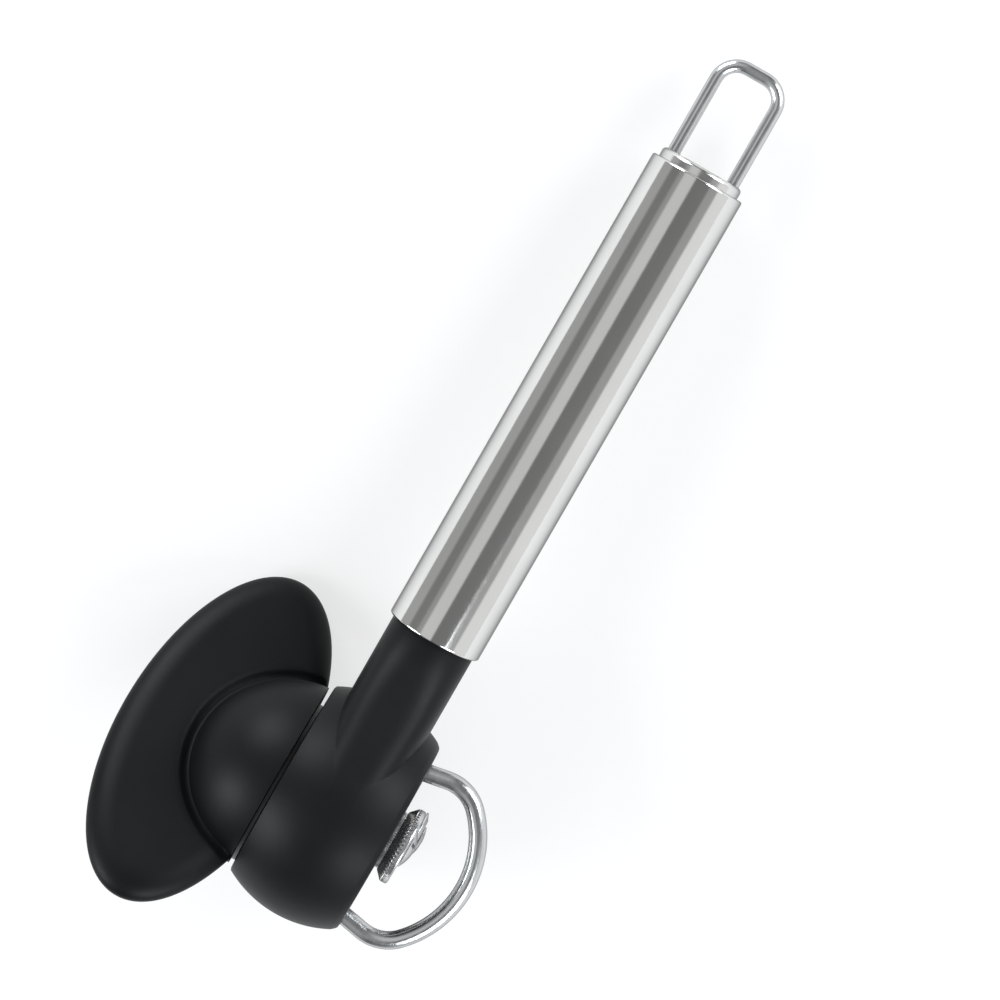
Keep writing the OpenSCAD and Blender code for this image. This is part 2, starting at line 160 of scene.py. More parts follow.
SCREW_R = 1.4
SCREW_HEAD_R = 4.0
SCREW_HEAD_EDGE = 0.35
SCREW_SLOT = (1.05, 5.0)
AXLE_R = 1.6
AXLE_THREAD_R = 1.3
AXLE_HEAD_R = 3.3
AXLE_HEAD_T = 0.9
AXLE_HEAD_EDGE = 0.25
AXLE_SLOT = (0.6, 4.0)
AXLE_SLOT_TURN = 0.5
SLOT_HALF = 0.45

# ---------------------------------------------------------------- mesh helpers


def piece(name, bm, material, body, replaces=(), angle=38.0, extra=Matrix.Identity(4)):
    """Turns a bmesh in tool millimetres into a piece that rides on a body."""
    bm.transform(TO_ROW @ extra)
    bmesh.ops.remove_doubles(bm, verts=bm.verts, dist=1e-7)
    bmesh.ops.recalc_face_normals(bm, faces=bm.faces)
    mesh = bpy.data.meshes.new(name)
    bm.to_mesh(mesh)
    bm.free()
    for polygon in mesh.polygons:
        polygon.use_smooth = True
    mesh.set_sharp_from_angle(angle=math.radians(angle))
    obj = bpy.data.objects.new(name, mesh)
    bpy.context.scene.collection.objects.link(obj)
    mesh.materials.append(material)
    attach(obj, body)
    if replaces:
        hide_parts(*replaces)
    return obj


def round_corners(points, radii, steps=6):
    """Rounds an open polyline's corners, its ends excepted; radii has one value per point."""
    out = []
    for i, (p, r) in enumerate(zip(points, radii)):
        p = Vector(p)
        if r <= 0 or i in (0, len(points) - 1):
            out.append(p)
            continue
        a = Vector(points[i - 1]) - p
        b = Vector(points[i + 1]) - p
        half = a.angle(b) / 2
        back = min(r / math.tan(half), a.length * 0.49, b.length * 0.49)
        r = back * math.tan(half)
        a.normalize()
        b.normalize()
        centre = p + (a + b).normalized() * (r / math.sin(half))
        start = p + a * back - centre
        end = p + b * back - centre
        sweep = start.angle(end)
        sign = 1 if start.x * end.y - start.y * end.x > 0 else -1
        for k in range(steps + 1):
            t = sign * sweep * k / steps
            out.append(centre + Vector((start.x * math.cos(t) - start.y * math.sin(t),
                                        start.x * math.sin(t) + start.y * math.cos(t))))
    return out


def arc(centre, radius, a0, a1, steps):
    """Points on an arc, angles in degrees."""
    return [Vector((centre[0] + radius * math.cos(math.radians(a0 + (a1 - a0) * k / steps)),
                    centre[1] + radius * math.sin(math.radians(a0 + (a1 - a0) * k / steps))))
            for k in range(steps + 1)]


def lathe(bm, profile, axis, centre=(0, 0, 0), segments=128, radius_at=None):
    """Revolves (along, radius) points round an axis through centre.

    radius_at may change a radius by its place along the axis and its angle.
    """
    centre = Vector(centre)
    rings = []
    for along, radius in profile:
        if radius < 1e-6:
            point = Vector((along, 0, 0)) if axis == "X" else Vector((0, along, 0))
            rings.append([bm.verts.new(centre + point)])
            continue
        ring = []
        for k in range(segments):
            t = 2 * math.pi * k / segments
            r = radius_at(along, radius, t) if radius_at else radius
            c, s = r * math.cos(t), r * math.sin(t)
            point = Vector((along, c, s)) if axis == "X" else Vector((s, along, c))
            ring.append(bm.verts.new(centre + point))
        rings.append(ring)
    for a, b in zip(rings, rings[1:]):
        for k in range(segments):
            n = (k + 1) % segments
            if len(a) == 1 and len(b) == 1:
                continue
            if len(a) == 1:
                bm.faces.new((a[0], b[n], b[k]))
            elif len(b) == 1:
                bm.faces.new((a[k], a[n], b[0]))
            else:
                bm.faces.new((a[k], a[n], b[n], b[k]))
    return rings


def wire(bm, path, radius, segments):
    """Sweeps a round wire along a path that lies flat in X and Y."""
    normal = Vector((0, 0, 1))
    rings = []
    count = len(path)
    for i, point in enumerate(path):
        ahead = path[min(i + 1, count - 1)] - path[max(i - 1, 0)]
        side = ahead.normalized().cross(normal)
        ring = []
        for k in range(segments):
            t = 2 * math.pi * k / segments
            ring.append(bm.verts.new(point + radius * (math.cos(t) * normal + math.sin(t) * side)))
        rings.append(ring)
    for a, b in zip(rings, rings[1:]):
        for k in range(segments):
            n = (k + 1) % segments
            bm.faces.new((a[k], b[k], b[n], a[n]))
    bm.faces.new(rings[0])
    bm.faces.new(list(reversed(rings[-1])))


def line(a, b, steps):
    """Evenly spaced points on a straight line, both ends included."""
    a, b = Vector(a), Vector(b)
    return [a.lerp(b, k / steps) for k in range(steps + 1)]


def joined(*runs):
    """One path from several runs, without repeated points."""
    path = []
    for run in runs:
        for p in run:
            p = Vector((p[0], p[1], p[2] if len(p) > 2 else 0.0))
            if not path or (p - path[-1]).length > 1e-4:
                path.append(p)
    return path


def combine(obj, other_bm, operation, angle=30.0):
    """Joins a closed shape, in tool millimetres, to a piece, or takes it away from it."""
    other_bm.transform(TO_ROW)
    bmesh.ops.recalc_face_normals(other_bm, faces=other_bm.faces)
    mesh = bpy.data.meshes.new("other")
    other_bm.to_mesh(mesh)
    other_bm.free()
    other = bpy.data.objects.new("other", mesh)
    bpy.context.scene.collection.objects.link(other)
    modifier = obj.modifiers.new("combine", "BOOLEAN")
    modifier.operation = operation
    modifier.solver = "EXACT"
    modifier.object = other
    graph = bpy.context.evaluated_depsgraph_get()
    result = bpy.data.meshes.new_from_object(obj.evaluated_get(graph))
    obj.modifiers.clear()
    old = obj.data
    obj.data = result
    bpy.data.meshes.remove(old)
    bpy.data.objects.remove(other)
    bpy.data.meshes.remove(mesh)
    for polygon in result.polygons:
        polygon.use_smooth = True
    result.set_sharp_from_angle(angle=math.radians(angle))


# ---------------------------------------------------------------- materials


NOISE_LOW = 0.3
NOISE_HIGH = 0.7
EDGE_TINT = (0.3, 0.3, 0.3, 1)


class Nodes:
    """A new material and short ways to build its node tree."""

    def __init__(self, name):
        self.material = bpy.data.materials.new(name)
        self.material.use_nodes = True
        self.tree = self.material.node_tree
        self.bsdf = self.tree.nodes["Principled BSDF"]

    def add(self, kind):
        return self.tree.nodes.new(kind)

    def link(self, a, b):
        self.tree.links.new(a, b)

    def coords(self, scale, spin=(0, 0, 0)):
        source = self.add("ShaderNodeTexCoord")
        mapping = self.add("ShaderNodeMapping")
        mapping.inputs["Rotation"].default_value = spin
        mapping.inputs["Scale"].default_value = scale
        self.link(source.outputs["Object"], mapping.inputs["Vector"])
        return mapping.outputs["Vector"]

    def noise(self, vector, scale, detail, roughness):
        node = self.add("ShaderNodeTexNoise")
        node.inputs["Scale"].default_value = scale
        node.inputs["Detail"].default_value = detail
        node.inputs["Roughness"].default_value = roughness
        self.link(vector, node.inputs["Vector"])
        return node.outputs["Fac"]

    def spread(self, value, low, high):
        """Stretches the middle of a noise, NOISE_LOW to NOISE_HIGH, from low to high."""
        node = self.add("ShaderNodeMapRange")
        for key, number in (("From Min", NOISE_LOW), ("From Max", NOISE_HIGH),
                            ("To Min", low), ("To Max", high)):
            node.inputs[key].default_value = number
        self.link(value, node.inputs["Value"])
        return node.outputs["Result"]

    def ramp(self, value, low, high):
        """The same stretch, between two colours."""
        node = self.add("ShaderNodeValToRGB")
        node.color_ramp.elements[0].color = (*low, 1)
        node.color_ramp.elements[1].color = (*high, 1)
        node.color_ramp.elements[0].position = NOISE_LOW
        node.color_ramp.elements[1].position = NOISE_HIGH
        self.link(value, node.inputs["Fac"])
        return node.outputs["Color"]

    def bump(self, value, distance, strength, after=None):
        node = self.add("ShaderNodeBump")
        node.inputs["Strength"].default_value = strength
        node.inputs["Distance"].default_value = distance
        self.link(value, node.inputs["Height"])
        if after is not None:
            self.link(after, node.inputs["Normal"])
        return node.outputs["Normal"]


def brushed(name, low, high, rough, streak, depth):
    """Satin metal with fine drawn lines, darker where it is seen edge on.

    Two colours and two roughnesses to vary between, the texture's scale per axis of the tool
    frame, and the lines' depth in metres.
    """
    n = Nodes(name)
    along = n.coords(streak, (LEAN, 0, 0))
    lines = n.noise(along, 1.0, 4.0, 0.6)
    cloud = n.noise(n.coords((1, 1, 1)), 55.0, 3.0, 0.5)
    n.link(n.ramp(cloud, low, high), n.bsdf.inputs["Base Color"])
    n.link(n.spread(lines, rough[0], rough[1]), n.bsdf.inputs["Roughness"])
    n.link(n.bump(lines, depth, 0.35), n.bsdf.inputs["Normal"])
    n.bsdf.inputs["Metallic"].default_value = 1.0
    n.bsdf.inputs["Specular Tint"].default_value = EDGE_TINT
    return n.material


def moulded(name, low, high, rough, grain, depth, specular=0.5):
    """Moulded plastic: fine spark-eroded grain over a wider one, and faint clouding."""
    n = Nodes(name)
    space = n.coords((1, 1, 1))
    cloud = n.noise(space, 40.0, 4.0, 0.55)
    fine = n.noise(space, grain, 2.0, 0.5)
    wide = n.noise(space, grain * 0.22, 2.0, 0.5)
    n.link(n.ramp(cloud, low, high), n.bsdf.inputs["Base Color"])
    n.link(n.spread(cloud, rough[0], rough[1]), n.bsdf.inputs["Roughness"])
    n.link(n.bump(fine, depth, 0.5, n.bump(wide, depth * 2.0, 0.25)), n.bsdf.inputs["Normal"])
    n.bsdf.inputs["Specular IOR Level"].default_value = specular
    return n.material


TUBE_STEEL = brushed(
    "tube_steel", (0.72, 0.72, 0.71), (0.77, 0.77, 0.76), (0.07, 0.12), (5200, 60, 5200), 0.000004)
CAP_STEEL = brushed(
    "cap_steel", (0.72, 0.72, 0.71), (0.78, 0.78, 0.77), (0.14, 0.22), (300, 3800, 300), 0.000004)
WIRE_STEEL = brushed(
    "wire_steel", (0.58, 0.59, 0.60), (0.66, 0.67, 0.68), (0.17, 0.26), (1500, 400, 1500),
    0.000004)
HARD_STEEL = brushed(
    "hard_steel", (0.64, 0.65, 0.66), (0.72, 0.73, 0.74), (0.22, 0.29), (3000, 700, 700), 0.000001)
ZINC_STEEL = brushed(
    "zinc_steel", (0.52, 0.53, 0.54), (0.64, 0.65, 0.66), (0.28, 0.42), (900, 900, 900), 0.00001)
BRASS = brushed(
    "brass", (0.66, 0.47, 0.17), (0.78, 0.58, 0.25), (0.25, 0.38), (900, 900, 900), 0.00001)
BRONZE = brushed(
    "bronze", (0.40, 0.24, 0.12), (0.52, 0.33, 0.18), (0.42, 0.60), (1500, 1500, 1500), 0.00002)

BLACK_GRAIN = 4200.0
BLACK_DEPTH = 0.00002
BLACK_SHINE = 0.16
BLACK = moulded(
    "black_nylon", (0.0018, 0.0022, 0.0025), (0.0028, 0.0033, 0.0038), (0.42, 0.52),
    BLACK_GRAIN, BLACK_DEPTH, BLACK_SHINE)
BLACK_KNOB = moulded(
    "black_knob", (0.0016, 0.0020, 0.0023), (0.0025, 0.0030, 0.0035), (0.44, 0.54),
    BLACK_GRAIN, BLACK_DEPTH, BLACK_SHINE)
DARK = moulded(
    "dark_acetal", (0.010, 0.010, 0.011), (0.016, 0.016, 0.018), (0.35, 0.45), 2600.0, 0.00001)
PALE = moulded(
    "pale_acetal", (0.52, 0.50, 0.45), (0.60, 0.58, 0.52), (0.38, 0.48), 2600.0, 0.00001)

BY_SLOT = {
    "steel_tube": TUBE_STEEL, "steel_cap": CAP_STEEL, "steel_wire": WIRE_STEEL,
    "hard_steel": HARD_STEEL, "zinc_steel": ZINC_STEEL, "brass": BRASS, "bronze": BRONZE,
    "black_nylon": BLACK, "black_knob": BLACK_KNOB, "dark_acetal": DARK, "pale_acetal": PALE,
}
for part in record["subparts"]:
    mesh = nodes[part["node"]].data
    mesh.materials.clear()
    mesh.materials.append(BY_SLOT[part["material_slot"]])

# ---------------------------------------------------------------- handle


def make_tube():
    """Tube with rounded ends; rings close to the long run's ends keep its shading even."""
    bm = bmesh.new()
    bore_r = TUBE_R - TUBE_WALL
    start = TUBE_Y0 + 0.25
    bore_end = TUBE_Y1 - TUBE_BORE_DEPTH
    outline = round_corners(
        [(start, bore_r), (TUBE_Y0, bore_r), (TUBE_Y0, TUBE_R),
         (TUBE_Y1, TUBE_R), (TUBE_Y1, bore_r), (bore_end, bore_r)],
        [0, 0.2, 0.75, 0.75, 0.2, 0], 8)
    body = []
    for a, b in zip(outline, outline[1:]):
        body.append(a)
        if abs(b.x - a.x) > 50:
            body += [a + (b - a).normalized() * 0.1]
            body += [a.lerp(b, k / 24) for k in range(1, 24)]
            body += [b + (a - b).normalized() * 0.1]
    body.append(outline[-1])
    inner = [Vector((bore_end, bore_r - 0.02)), Vector((start, bore_r))]
    lathe(bm, body + inner, "Y", segments=192)
    piece("tube", bm, TUBE_STEEL, "opener", ["handle_tube"])


def make_cap():
    """End cap with a round recess for its nut."""
    bm = bmesh.new()
    low = in_tool("end_cap")[0].y
    nut_y = CAP_TOP - CAP_NUT_DEPTH
    outline = round_corners(
        [(low, 0), (low, CAP_R - CAP_GAP), (TUBE_Y1 + 0.02, CAP_R - CAP_GAP), (CAP_TOP, CAP_R),
         (CAP_TOP, CAP_NUT_R), (nut_y, CAP_NUT_R), (nut_y, 0)],
        [0, 0.3, 0, 0.9, 0.25, 0, 0], 8)
    lathe(bm, outline, "Y", segments=160)
    piece("cap", bm, CAP_STEEL, "opener", ["end_cap"])


def make_loop():
    """Wire loop in the cap: two legs, two bends and a straight top."""
    corner_x, corner_y = LOOP_HALF - LOOP_BEND, LOOP_TOP - LOOP_BEND
    foot = in_tool("hanging_loop")[0].y
    path = joined(
        line((LOOP_HALF, foot, 0), (LOOP_HALF, corner_y, 0), 20),
        arc((corner_x, corner_y), LOOP_BEND, 0, 90, 24),
        line((corner_x, LOOP_TOP, 0), (-corner_x, LOOP_TOP, 0), 10),
        arc((-corner_x, corner_y), LOOP_BEND, 90, 180, 24),
        line((-LOOP_HALF, corner_y, 0), (-LOOP_HALF, foot, 0), 20))
    bm = bmesh.new()
    wire(bm, path, LOOP_WIRE, 36)
    piece("loop", bm, WIRE_STEEL, "opener", ["hanging_loop"])


# ---------------------------------------------------------------- head


SWELL_START = 1.0
SWELL_EASE = 4.0
SWELL_BLEND = 20
SWELL_UNDER_BALL = 0.06
SWELL_UNDER_NECK = 0.04


def swell():
    """The neck's swelling: round at the tube, higher and squarer on its way to the ball."""
    far = math.hypot(NECK_FLARE, NECK_R)
    touch = math.atan2(NECK_R, NECK_FLARE) + math.acos(BALL_R / far)
    end = Vector((BALL_R * math.cos(touch), BALL_R * math.sin(touch)))
    slope = (end.y - NECK_R) / (NECK_FLARE - end.x)
    bm = bmesh.new()
    sections, sides = 56, 144
    rings = []
    for i in range(sections + 1):
        y = SWELL_START + (NECK_FLARE + SWELL_EASE - SWELL_START) * i / sections
        rise = NECK_FLARE - y
        if abs(rise) < SWELL_EASE:
            rise = (rise + SWELL_EASE) ** 2 / (4 * SWELL_EASE)
        height = NECK_R + slope * max(rise, 0.0)
        if y < end.x:
            height = math.sqrt(BALL_R ** 2 - y * y)
        height -= SWELL_UNDER_BALL
        mix = min(1.0, max(0.0, (NECK_FLARE + SWELL_EASE - y) / SWELL_BLEND))
        power = 2.0 + (NECK_SQUARE - 2.0) * mix * mix * (3 - 2 * mix)
        ring = []
        for k in range(sides):
            c, w = math.cos(2 * math.pi * k / sides), math.sin(2 * math.pi * k / sides)
            grow = (abs(c) ** power + abs(w) ** power) ** (-1 / power)
            across = (NECK_R - SWELL_UNDER_NECK) * w * grow
            ring.append(bm.verts.new((across, y, height * c * grow)))
        rings.append(ring)
    for a, b in zip(rings, rings[1:]):
        for k in range(sides):
            n = (k + 1) % sides
            bm.faces.new((a[k], a[n], b[n], b[k]))
    bm.faces.new(rings[0])
    bm.faces.new(list(reversed(rings[-1])))
    return bm


def make_housing():
    """Ball cut at seam and face, with the neck joined on and the sleeve's and axle's bores cut."""
    face_edge = math.sqrt(BALL_R ** 2 - FACE_X ** 2)
    seam_edge = math.sqrt(BALL_R ** 2 - SEAM_X ** 2)
    a0 = math.degrees(math.atan2(seam_edge, SEAM_X + 0.25))
    a1 = math.degrees(math.atan2(face_edge, FACE_X - 1.3))
    sphere = arc((0, 0), BALL_R, a0, a1, 72)
    shell = [Vector((SEAM_X, 0)), Vector((SEAM_X, seam_edge - 0.3))]
    shell += sphere
    edge = round_corners(
        [tuple(sphere[-1]), (FACE_X, face_edge - 0.35), (FACE_X, 0)], [0, 1.15, 0], 10)
    shell += edge[1:]
    bm = bmesh.new()
    lathe(bm, shell, "X", segments=224)
    obj = piece("housing", bm, BLACK, "opener", ["head_housing"], angle=30)

    neck = bmesh.new()
    spigot = in_tool("head_housing")[1].y
    outline = [(4, 0), (4, NECK_R)] + [(y, NECK_R) for y in range(16, 40, 4)]
    outline += round_corners([(44, NECK_R), (spigot, NECK_R), (spigot, 0)], [0, 0.5, 0], 4)
    lathe(neck, outline, "Y", segments=160)
    combine(obj, neck, "UNION")
    combine(obj, swell(), "UNION")

    for radius, x0, x1, y, z in (
            (FLANGE_BORE_R, SEAM_X - 3, FLANGE_SEAT_X, ECC.y, ECC.z),
            (SLEEVE_BORE_R, FLANGE_SEAT_X - 1, FACE_X + 2, ECC.y, ECC.z),
            (AXLE_HOLE_R, AXLE_HOLE_X, FACE_X + 2, CUTTER.y, CUTTER.z)):
        tool = bmesh.new()
        lathe(tool, [(x0, 0), (x0, radius), (x1, radius), (x1, 0)], "X", (0, y, z), 96)
        combine(obj, tool, "DIFFERENCE")


def ring_path():
    """Centre line of the guide ring: two leaning legs, two tight bends and a wide crown."""
    end_y = RING_HALF - (RING_REACH - RING_WIDE_X) * RING_BEND_SHARE
    end_r = RING_HALF - end_y
    a = RING_REACH - end_r - RING_WIDE_X
    du = (end_y ** 2 - a ** 2) / (2 * a)
    crown = RING_REACH - RING_WIDE_X + du
    split = math.degrees(math.atan2(end_y, du))
    lean = math.degrees(RING_LEAN)
    leg_x = RING_WIDE_X - end_r * math.sin(RING_LEAN)
    leg_y = end_y + end_r * math.cos(RING_LEAN)
    foot_x = in_tool("guide_ring")[0].x + RING_WIRE * math.sin(RING_LEAN)
    foot_y = leg_y - (leg_x - foot_x) * math.tan(RING_LEAN)
    path = joined(
        line((foot_x, foot_y), (leg_x, leg_y), 12),
        arc((RING_WIDE_X, end_y), end_r, 90 + lean, split, 28),
        arc((RING_WIDE_X - du, 0), crown, split, -split, 72),
        arc((RING_WIDE_X, -end_y), end_r, -split, -90 - lean, 28),
        line((leg_x, -leg_y), (foot_x, -foot_y), 12))
    return [Vector((p.x, p.y - RING_DROP, RING_Z)) for p in path]


def make_ring():
    """The guide ring's bent wire."""
    bm = bmesh.new()
    wire(bm, ring_path(), RING_WIRE, 40)
    piece("ring", bm, WIRE_STEEL, "opener", ["guide_ring"])


# ---------------------------------------------------------------- knob

# the paddle leans to rest on the table at its lower tip; PADDLE_WORLD is its angle to the table
PADDLE_WORLD = (math.asin(BALL_R / math.hypot(PADDLE_B, PADDLE_FLAT))
                - math.atan(PADDLE_FLAT / PADDLE_B))
PADDLE_TILT = PADDLE_WORLD - LEAN
RIM_W = 6.0
RIM_POWER = 2.0
GROOVE_W = 2.0
GROOVE_D = 0.75
GROOVE_SHIFT = 0.35
GROOVE_SOFT = 1.3
KNOB_RAYS = 240
KNOB_ANGLE = 32


def ellipse_gap(u, v):
    """Distance inside the paddle's oval outline, in mm, nearly."""
    x, y = (u - PADDLE_X) / PADDLE_A, v / PADDLE_B
    e = math.hypot(x, y)
    if e < 1e-6:
        return PADDLE_A
    slope = math.hypot(x / PADDLE_A, y / PADDLE_B) / e
    return (1 - e) / slope


def rim_height(gap):
    """Half thickness of the paddle at a distance inside its outline: a full round of RIM_W."""
    if gap >= RIM_W:
        return PADDLE_T
    return PADDLE_T * (1 - (1 - max(gap, 0.0) / RIM_W) ** RIM_POWER) ** (1 / RIM_POWER)


def soft_max(a, b, k):
    """The larger of two heights, with a fillet of about k where they cross."""
    h = max(k - abs(a - b), 0.0) / k
    return max(a, b) + h * h * k * 0.25


def knob_height(u, v):
    """Half thickness of the knob: the paddle, its groove round the dome, and the dome."""
    reach = math.hypot(u - DOME_X, v)
    foot = math.sqrt(DOME_R ** 2 - PADDLE_T ** 2)
    plate = rim_height(ellipse_gap(u, v))
    t = (reach - foot - GROOVE_W * GROOVE_SHIFT) / GROOVE_W
    if abs(t) < 1:
        plate -= GROOVE_D * (1 - t * t) ** 2 * min(1.0, plate / PADDLE_T)
    dome = math.sqrt(max(0.0, DOME_R ** 2 - reach ** 2))
    return soft_max(plate, dome, GROOVE_SOFT * min(1.0, plate / PADDLE_T))


def ray_out(t):
    """Distance from the middle of the cut plane to the outline, along an angle."""
    c, s = math.cos(t), math.sin(t)
    a = (c / PADDLE_A) ** 2 + (s / PADDLE_B) ** 2
    b = 2 * (CUT_X - PADDLE_X) * c / PADDLE_A ** 2
    k = ((CUT_X - PADDLE_X) / PADDLE_A) ** 2 - 1
    return (-b + math.sqrt(b * b - 4 * a * k)) / (2 * a)


def ray_dome(t):
    """Distance to the dome's foot along the same ray."""
    c, s = math.cos(t), math.sin(t)
    off = CUT_X - DOME_X
    foot = DOME_R ** 2 - PADDLE_T ** 2
    b = off * c
    return -b + math.sqrt(b * b - off * off + foot)


def ray_stations(t):
    """Distances along a ray, closer together towards the dome's foot and the rim."""
    out, dome = ray_out(t), ray_dome(t)
    spare = out - dome
    groove = min(2.4, spare * 0.4)
    rim = min(RIM_W * 1.5, (spare - groove) * 0.6)
    flat_to = out - rim
    stations = [dome * math.sin(math.pi / 2 * k / 30) for k in range(1, 31)]
    stations += [dome + groove * k / 10 for k in range(1, 11)]
    stations += [dome + groove + (flat_to - dome - groove) * k / 8 for k in range(1, 9)]
    stations += [flat_to + rim * math.sin(math.pi / 2 * k / 22) for k in range(1, 23)]
    return stations


def make_knob():
    """The oval paddle and its dome, cut flat at CUT_X, with the insert's pocket."""
    bm = bmesh.new()
    top, low = [], []
    for i in range(KNOB_RAYS + 1):
        t = math.pi / 2 + math.pi * i / KNOB_RAYS
        stations = ray_stations(t)
        a, b = [], []
        for j, r in enumerate(stations):
            u, v = CUT_X + r * math.cos(t), r * math.sin(t)
            h = 0.0 if j == len(stations) - 1 else knob_height(u, v)
            a.append(bm.verts.new((u, v, h)))
            b.append(a[-1] if h == 0.0 else bm.verts.new((u, v, -h)))
        top.append(a)
        low.append(b)
    h = knob_height(CUT_X, 0)
    hub_top, hub_low = bm.verts.new((CUT_X, 0, h)), bm.verts.new((CUT_X, 0, -h))
    for side, hub in ((top, hub_top), (low, hub_low)):
        for a, b in zip(side, side[1:]):
            bm.faces.new((hub, a[0], b[0]))
            for j in range(len(a) - 1):
                bm.faces.new((a[j], a[j + 1], b[j + 1], b[j]))
    for end in (0, -1):
        a, b = top[end], low[end]
        bm.faces.new((hub_top, a[0], b[0], hub_low))
        for j in range(len(a) - 1):
            # at the rim the upper and lower points are one, so the last face is a triangle
            bm.faces.new(list(dict.fromkeys((a[j], a[j + 1], b[j + 1], b[j]))))
    tilt = Matrix.Rotation(-PADDLE_TILT, 4, "X")
    obj = piece("knob_body", bm, BLACK_KNOB, "drive", ["knob"],
                angle=KNOB_ANGLE, extra=tilt)
    tool = bmesh.new()
    lathe(tool, [(INSERT_X0, 0), (INSERT_X0, INSERT_R), (INSERT_X1, INSERT_R),
                 (INSERT_X1, POCKET_R), (CUT_X + 3, POCKET_R), (CUT_X + 3, 0)], "X")
    combine(obj, tool, "DIFFERENCE", KNOB_ANGLE)


# ---------------------------------------------------------------- drive wheel and cutter

HARD_ANGLE = 28
HEAD_SEGMENTS = 144
DOME_STEPS = 18
BOX_FACES = ((0, 1, 3, 2), (4, 6, 7, 5), (0, 4, 5, 1), (2, 3, 7, 6), (0, 2, 6, 4), (1, 5, 7, 3))


def zigzag(t, count):
    """Falls from 1 to 0 and rises again, count times in a turn."""
    return abs((t * count / (2 * math.pi)) % 1.0 - 0.5) * 2


def ring_shell(bm, rings, segments):
    """Closes a revolved outline whose last ring meets its first one in a flat ring."""
    for k in range(segments):
        n = (k + 1) % segments
        bm.faces.new((rings[-1][k], rings[-1][n], rings[0][n], rings[0][k]))


def make_wheel():
    """Wheel with a bevel towards the head; short V teeth cross the edge of bevel and rim."""
    edge_x = WHEEL_X0 + WHEEL_BEVEL
    profile = round_corners(
        [(WHEEL_X0, WHEEL_BORE_R), (WHEEL_X0, WHEEL_FRONT_R), (edge_x, WHEEL_R),
         (WHEEL_X1, WHEEL_R), (WHEEL_X1, WHEEL_BORE_R)],
        [0, 0.25, 0.1, 0.45, 0], 6)
    dense = []
    for a, b in zip(profile, profile[1:]):
        steps = max(1, int((b - a).length / 0.16)) if a.y > 6.0 and b.y > 6.0 else 1
        dense += [a.lerp(b, k / steps) for k in range(steps)]
    dense.append(profile[-1])

    def notched(along, radius, t):
        if radius <= NOTCH_R:
            return radius
        depth = NOTCH_DEPTH * zigzag(t, TEETH) - NOTCH_SLOPE * abs(along - edge_x - NOTCH_SHIFT)
        return radius - max(0.0, depth)

    bm = bmesh.new()
    segments = TEETH * 8
    ring_shell(bm, lathe(bm, dense, "X", segments=segments, radius_at=notched), segments)
    piece("wheel", bm, HARD_STEEL, "drive", ["drive_wheel"], angle=HARD_ANGLE)


def make_washer():
    """Washer with a finely serrated edge."""
    low, high = in_tool("wheel_washer")

    def serrated(along, radius, t):
        return radius if radius < 6.0 else radius - WASHER_NOTCH * zigzag(t, WASHER_TEETH)

    outline = round_corners(
        [(low.x, WHEEL_BORE_R), (low.x, WASHER_R), (high.x, WASHER_R), (high.x, WHEEL_BORE_R)],
        [0, 0.1, 0.1, 0], 3)
    bm = bmesh.new()
    segments = WASHER_TEETH * 6
    ring_shell(bm, lathe(bm, outline, "X", segments=segments, radius_at=serrated), segments)
    piece("washer", bm, HARD_STEEL, "drive", ["wheel_washer"], angle=HARD_ANGLE)


def make_cutter():
    """Cutter disc with its bevelled edge."""
    low, high = in_tool("cutter_wheel")
    outer = (high.y - low.y) / 2
    outline = round_corners(
        [(low.x, CUTTER_BORE_R), (low.x, outer), (low.x + CUTTER_LAND, outer),
         (high.x, outer - CUTTER_BEVEL), (high.x, CUTTER_BORE_R)],
        [0, 0.06, 0.12, 0.3, 0], 5)
    bm = bmesh.new()
    ring_shell(bm, lathe(bm, outline, "X", (0, CUTTER.y, CUTTER.z), HEAD_SEGMENTS), HEAD_SEGMENTS)
    piece("cutter_disc", bm, HARD_STEEL, "cutter", ["cutter_wheel"],
          angle=HARD_ANGLE)


def headed(shank, head_r, edge, head_x, top, centre, slot, turn):
    """A turned screw: a shank's outline, then a head with a short edge, a low dome and a slot.

    slot is the depth of the driver slot and half its length; turn is its angle. Gives the
    screw's shape and the shape to cut from it.
    """
    rise = top - head_x - edge
    dome = (head_r ** 2 + rise ** 2) / (2 * rise)
    outline = [Vector(p) for p in shank]
    outline += [Vector((head_x, head_r - 0.12)), Vector((head_x + 0.1, head_r)),
                Vector((head_x + edge, head_r))]
    for k in range(1, DOME_STEPS + 1):
        r = head_r * math.cos(math.pi / 2 * k / DOME_STEPS)
        outline.append(Vector((top - dome + math.sqrt(dome ** 2 - r * r),
                               r if k < DOME_STEPS else 0.0)))
    bm = bmesh.new()
    lathe(bm, outline, "X", centre, HEAD_SEGMENTS)
    cut = bmesh.new()
    depth, reach = slot
    corners = [cut.verts.new((x, y, z)) for x in (top - depth, top + 1)
               for y in (-SLOT_HALF, SLOT_HALF) for z in (-reach, reach)]
    for face in BOX_FACES:
        cut.faces.new([corners[i] for i in face])
    cut.transform(Matrix.Translation(centre) @ Matrix.Rotation(turn, 4, "X"))
    return bm, cut


